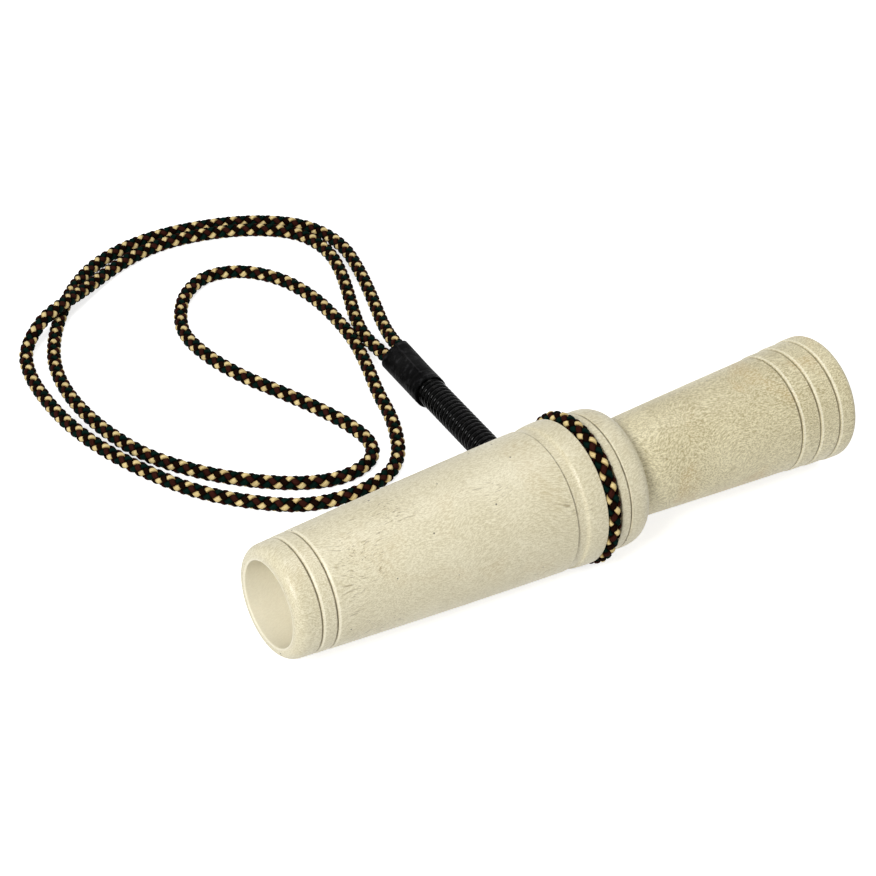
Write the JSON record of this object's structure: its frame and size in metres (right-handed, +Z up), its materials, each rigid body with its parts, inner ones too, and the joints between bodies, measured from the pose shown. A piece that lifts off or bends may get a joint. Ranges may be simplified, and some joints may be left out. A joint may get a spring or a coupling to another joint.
{
  "type": "bird call",
  "caption": "Tube-shaped mouth-blown bird call with a push-in reed insert, a raised collar with a cord groove, and a braided neck lanyard held by a sliding spring keeper.",
  "frame": {"origin": "on the surface that the call lies on, under the middle of the call's length", "axes": "+X along the call from the mouth to the exhaust, +Z up, the lanyard lies at +Y"},
  "size_m": [0.152, 0.1979, 0.0353],
  "materials": {
    "resin": "satin moulded cream resin",
    "seal_rubber": "matte black rubber",
    "reed_film": "translucent polyester film",
    "cork": "bare cork",
    "braid": "braided cord, dark with tan and green flecks",
    "black_wire": "gloss black coated steel wire",
    "black_sleeve": "matte black shrunk sleeve"
  },
  "bodies": {
    "lanyard": {"barrel_loop": "braid", "keeper_strands": "braid", "neck_cord": "braid"},
    "keeper": {"cord_spring": "black_wire", "cord_sleeve": "black_sleeve"},
    "barrel": {"barrel": "resin"},
    "seal_rings": {"o_ring_front": "seal_rubber", "o_ring_rear": "seal_rubber"},
    "insert": {"insert": "resin", "tone_board": "resin", "wedge": "cork", "reed_heel": "reed_film"},
    "reed": {"reed": "reed_film"}
  },
  "joints": [
    {"name": "keeper_slide", "type": "slide", "parent": "lanyard", "child": "keeper", "axis": [0.1521, 0.9866, -0.0599], "range_m": [0, 0.012], "deforming": ["neck_cord"]},
    {"name": "barrel_turn", "type": "hinge", "parent": "lanyard", "child": "barrel", "pos_m": [0.0043, 0, 0.0172], "axis": [1, 0, 0], "continuous": true},
    {"name": "insert_pull", "type": "slide", "parent": "barrel", "child": "seal_rings", "axis": [1, 0, 0], "range_m": [0, 0.07]},
    {"name": "insert_twist", "type": "hinge", "parent": "seal_rings", "child": "insert", "pos_m": [0.002, 0, 0.0172], "axis": [1, 0, 0], "continuous": true},
    {"name": "reed_flex", "type": "hinge", "parent": "insert", "child": "reed", "pos_m": [-0.017, 0, 0.01818], "axis": [0, 1, 0], "range_deg": [-2, 1.5], "stiffness_Nm_per_rad": 0.01}
  ]
}
